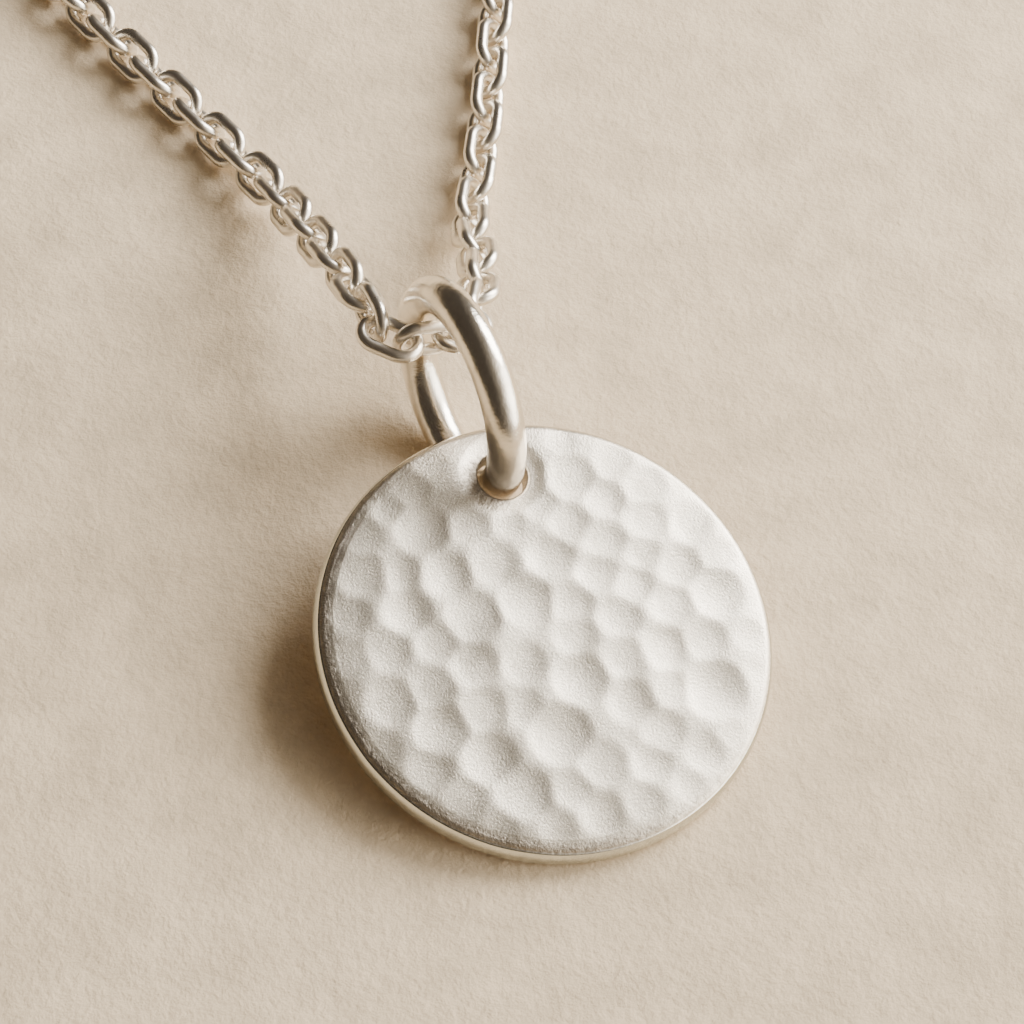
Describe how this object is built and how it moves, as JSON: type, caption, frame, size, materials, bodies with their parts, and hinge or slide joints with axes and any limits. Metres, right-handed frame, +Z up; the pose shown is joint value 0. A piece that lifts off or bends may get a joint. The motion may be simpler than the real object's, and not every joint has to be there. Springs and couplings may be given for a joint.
{
  "type": "disc pendant necklace",
  "caption": "Hammered silver disc pendant on a thick jump ring and a fine cable chain, lying on a surface as a whole loop",
  "frame": {"origin": "on the surface that the necklace lies on, under the middle of its box", "axes": "+Z up from the surface; +Y from the pendant to the clasp, along the necklace; +X across it"},
  "size_m": [0.0916, 0.188, 0.008],
  "materials": {
    "hammered_silver": "hammered and satin, polished rim",
    "polished_silver": "polished",
    "chain_silver": "polished, slightly worn"
  },
  "bodies": {
    "root": {"disc": "hammered_silver", "jump_ring": "polished_silver", "chain_links": "chain_silver", "chain_cross_links": "chain_silver", "chain_back": "chain_silver", "clasp": "polished_silver"}
  },
  "joints": []
}
